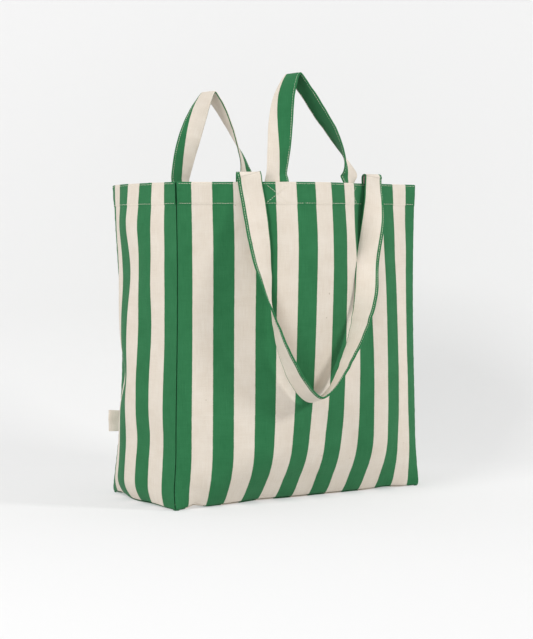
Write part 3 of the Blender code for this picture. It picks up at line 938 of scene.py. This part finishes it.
threadLook = {"length": 0.0026, "pitch": 0.0032, "width": 0.00042, "height": 0.00022, "colour": (0.84, 0.80, 0.70, 1.0)}


def makeThreadFinish():
    finish = Finish("sewingThread", {"Sheen Weight": 0.1, "Specular IOR Level": 0.35})
    place = finish.node("ShaderNodeTexCoord", None, None, output=3)
    twist = finish.noise(place, 2200.0, 1.0)
    warm = (0.74, 0.68, 0.55, 1.0)
    finish.feed("Base Color", finish.mix(twist, threadLook["colour"], warm))
    finish.feed("Roughness", 0.72 + twist * 0.15)
    finish.feed("Normal", finish.node("ShaderNodeBump", None, {"Strength": 0.4, "Distance": 0.0002, "Height": twist}))
    return finish.material


# stitches at these places: each is a six-sided bar, thick in the middle and sunk at both ends
def makeStitches(name, centres, along, normal, slot="strap_canvas"):
    look = threadLook
    s = np.array([-1.0, -0.86, -0.45, 0.0, 0.45, 0.86, 1.0])
    swell = np.sqrt(np.clip(1 - s**4, 0.0, 1.0)) * 0.5 + 0.02
    angle = np.linspace(0, 2 * pi, 7)[:-1]
    across = unit(np.cross(normal, along))
    run = s[:, None] * look["length"] / 2 + 0 * angle
    wide = swell[:, None] * np.cos(angle) * look["width"]
    high = swell[:, None] * np.sin(angle) * look["height"] * 2 + (swell[:, None] - 0.35) * look["height"]
    shape = lambda part, axis: part[None, ..., None] * axis[:, None, None, :]
    points = centres[:, None, None, :] + shape(run, along) + shape(wide, across) + shape(high, normal)
    count, rows, columns = points.shape[:3]
    quads = gridQuads(rows, columns, wrap=True)
    caps = np.array([[0, 1, 2, 3], [0, 3, 4, 5]])
    lastCaps = (rows - 1) * columns + caps[:, ::-1]
    one = np.concatenate([quads[:, ::-1], caps, lastCaps])
    faces = (one[None] + (np.arange(count) * rows * columns)[:, None, None]).reshape(-1, 4)
    return addObject(name, points.reshape(-1, 3), faces, threadFinish)


# a row of stitches round one wall, on its outer face
def wallRow(wall, fromTop):
    isWide = wall in ("front", "back")
    z = bag["height"] - fromTop
    reach = (halfWidth(z) if isWide else halfDepth(z)) - 0.003
    fine = np.linspace(-reach, reach, 900)
    t = (fine / (reach + 0.003) + 1) / 2
    flat = bag["flatWidth"] if isWide else bag["flatDepth"]
    detail = surfaceDetail(wall, t, z + 0 * fine, t * flat)
    u, out = movedIn(wall, fine, z + 0 * fine, -bag["wallHalf"] - detail)
    line = placed(wall, u, out, z + 0.00012 * ripple(fine, 0.017, fromTop * 900))
    return spacedAlong(line)


# centres and directions at even steps along a line
def spacedAlong(line, pitch=None):
    pitch = pitch or threadLook["pitch"]
    steps = np.linalg.norm(np.diff(line, axis=0), axis=-1)
    along = np.concatenate([[0], np.cumsum(steps)])
    places = np.arange(pitch / 2, along[-1], pitch)
    pick = lambda at: np.stack([np.interp(at, along, line[:, i]) for i in range(3)], axis=-1)
    return pick(places), unit(pick(places + 0.0004) - pick(places - 0.0004))


def hemStitches():
    for wall in facings:
        centres, along, normals = [], [], []
        for fromTop in (0.0022, wallLook["hemDepth"] - 0.001):
            c, a = wallRow(wall, fromTop)
            n = unit(np.cross(a, np.array([0, 0, 1.0])))
            n = n * np.sign((n * c).sum(axis=-1, keepdims=True))
            inner = c - n * (2 * wallLook["hemFold"] + 0.0004)
            centres += [c, inner]
            along += [a, a]
            normals += [n, -n]
        piece = makeStitches(wall + "HemStitches", *(np.concatenate(part) for part in (centres, along, normals)))
        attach(piece, "bag_body")


# crossed rows of stitches through the hem where each strap end is sewn on
def crossStitches():
    look = {"wide": 0.0245, "high": 0.0200, "below": 0.0045}
    halfBox = look["wide"] / 2
    corners = np.array([[-halfBox, 0], [halfBox, 0], [halfBox, -look["high"]], [-halfBox, -look["high"]]])
    runs = [corners[[0, 2]], corners[[1, 3]]]
    for name, values in straps.items():
        side = values["side"]
        centres, along, normals = [], [], []
        for leg in values["middle"] + np.array([-1, 1]) * values["halfSpan"]:
            slopeNormal = wallNormal(side, np.array(leg), np.array(top - 0.012))
            squeeze = abs(slopeNormal[1])
            for run in runs:
                share = np.linspace(0, 1, 60)
                flatX = run[0, 0] + (run[1, 0] - run[0, 0]) * share
                flatZ = run[0, 1] + (run[1, 1] - run[0, 1]) * share
                x, z = leg + flatX * squeeze, top - look["below"] + flatZ
                for inward, facing in ((-bag["wallHalf"] - wallLook["hemStep"], 1), (strapLook["plane"] + strapLook["thickness"] / 2, -1)):
                    u, out = movedIn(side, x, z, inward)
                    c, a = spacedAlong(placed(side, u, out, z))
                    centres.append(c)
                    along.append(a)
                    normals.append(facing * wallNormal(side, c[:, 0], c[:, 2]))
        piece = makeStitches(name + "CrossStitches", *(np.concatenate(part) for part in (centres, along, normals)))
        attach(piece, "bag_body")


# the top-stitching along both edges and both faces of each strap
def strapRows(parts, span):
    line, across, normal, places = (part[span] for part in parts)
    centres, along, normals = [], [], []
    for edgeSide in (-1, 1):
        edge = line + across * edgeSide * (strapLook["width"] / 2 - strapLook["stitchInset"])
        run = np.concatenate([[0], np.cumsum(np.linalg.norm(np.diff(edge, axis=0), axis=-1))])
        at = np.arange(threadLook["pitch"] / 2, run[-1], threadLook["pitch"])
        pick = lambda data, where: np.stack([np.interp(where, run, data[:, i]) for i in range(3)], axis=-1)
        c, n = pick(edge, at), unit(pick(normal, at))
        a = unit(pick(edge, at + 0.0004) - pick(edge, at - 0.0004))
        lift = strapLook["thickness"] / 2 - strapLook["groove"]
        centres += [c + n * lift, c - n * lift]
        along += [a, a]
        normals += [n, -n]
    return [np.concatenate(data) for data in (centres, along, normals)]


def strapStitches():
    for name, parts in strapFrames.items():
        values, bodyName = straps[name], strapCloths[name][2]
        count = len(parts[0])
        if values["kind"] == "short":
            piece = makeStitches(name + "Stitches", *strapRows(parts, slice(16, count - 16)))
            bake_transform(piece)
            continue
        first, last = foldStations(parts, values)
        piece = makeStitches(name + "Stitches", *strapRows(parts, slice(first, last + 1)))
        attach(piece, bodyName)
        for leg, span in (("left", slice(16, first + 1)), ("right", slice(last, count - 16))):
            piece = makeStitches(name + leg.title() + "EndStitches", *strapRows(parts, span))
            start, stop = foldBlend(values, leg)
            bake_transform(piece)


print("stitches")
threadFinish = makeThreadFinish()
hemStitches()
crossStitches()
strapStitches()


# ---- floor, light and camera

stageLook = {"floor": (0.41, 0.41, 0.41, 1.0), "glow": 0.435, "backdropAway": 0.21, "curve": 0.22}


# floor and backdrop in one sweep: flat, then a quarter circle, then upright behind the bag
def makeStage():
    s = np.linspace(0, 1, 60)
    yaw = cameraLook["yaw"]
    turn = np.linspace(0, pi / 2, 24)
    r, away = stageLook["curve"], stageLook["backdropAway"]
    forward = np.concatenate([[-9.0, -1.0], away + r * np.sin(turn), [away + r]])
    height = np.concatenate([[0.0, 0.0], r * (1 - np.cos(turn)), [6.0]])
    sideways = np.array([-8.0, -1.0, 1.0, 8.0])[:, None]
    ahead = np.array([np.sin(yaw), np.cos(yaw), 0.0])
    right = np.array([np.cos(yaw), -np.sin(yaw), 0.0])
    points = forward[None, :, None] * ahead + sideways[..., None] * right + height[None, :, None] * np.array([0, 0, 1.0])
    quads = gridQuads(*points.shape[:2])
    mesh = bpy.data.meshes.new("floor")
    mesh.from_pydata(points.reshape(-1, 3).tolist(), [], quads.tolist())
    mesh.shade_smooth()
    floor = bpy.data.objects.new("floor", mesh)
    bpy.context.scene.collection.objects.link(floor)
    constants = {"Base Color": stageLook["floor"], "Roughness": 0.95, "Specular IOR Level": 0.1}
    constants.update({"Emission Color": (1.0, 1.0, 1.0, 1.0), "Emission Strength": stageLook["glow"]})
    finish = Finish("paleFloor", constants)
    # seen from behind it is clear, so that a view from the back shows the bag
    behind = finish.node("ShaderNodeNewGeometry", None, None, output=6)
    finish.feed("Alpha", 1 - behind)
    mesh.materials.append(finish.material)


cameraLook = {
    "place": (-1.0996, -1.8088, 0.339),
    "yaw": 0.5459,
    "pitch": 0.0543,
    "roll": -0.0052,
    "focal": 90.85,
    "shift": 0.0016,
}


def makeCamera():
    data = bpy.data.cameras.new("camera")
    data.lens = cameraLook["focal"]
    data.sensor_width = 36.0
    camera = bpy.data.objects.new("camera", data)
    camera.location = cameraLook["place"]
    aimed = Euler((pi / 2 - cameraLook["pitch"], 0.0, -cameraLook["yaw"])).to_matrix()
    camera.rotation_euler = (aimed @ Matrix.Rotation(cameraLook["roll"], 3, "Z")).to_euler()
    data.shift_x = cameraLook["shift"]
    bpy.context.scene.collection.objects.link(camera)
    bpy.context.scene.camera = camera


lights = {
    # place, aim, size, power
    "windowLight": ((-2.1, -0.9, 1.9), (0.0, 0.0, 0.2), 0.9, 48.0),
    "frontFill": ((2.3, -2.6, 2.0), (0.0, 0.0, 0.2), 0.6, 73.0),
    "overhead": ((0.2, -0.3, 2.8), (0.0, 0.1, 0.2), 1.6, 4.0),
}


def makeLights():
    for name, (place, aim, size, power) in lights.items():
        data = bpy.data.lights.new(name, "AREA")
        data.size, data.energy = size, power
        lamp = bpy.data.objects.new(name, data)
        lamp.location = place
        lamp.rotation_euler = (Vector(aim) - Vector(place)).to_track_quat("-Z", "Y").to_euler()
        bpy.context.scene.collection.objects.link(lamp)
    world = bpy.data.worlds.new("studio")
    world.use_nodes = True
    world.node_tree.nodes["Background"].inputs["Color"].default_value = (1.0, 1.0, 1.0, 1.0)
    world.node_tree.nodes["Background"].inputs["Strength"].default_value = 0.30
    bpy.context.scene.world = world
    bpy.context.scene.view_settings.view_transform = "Standard"


print("stage")
makeStage()
makeCamera()
makeLights()
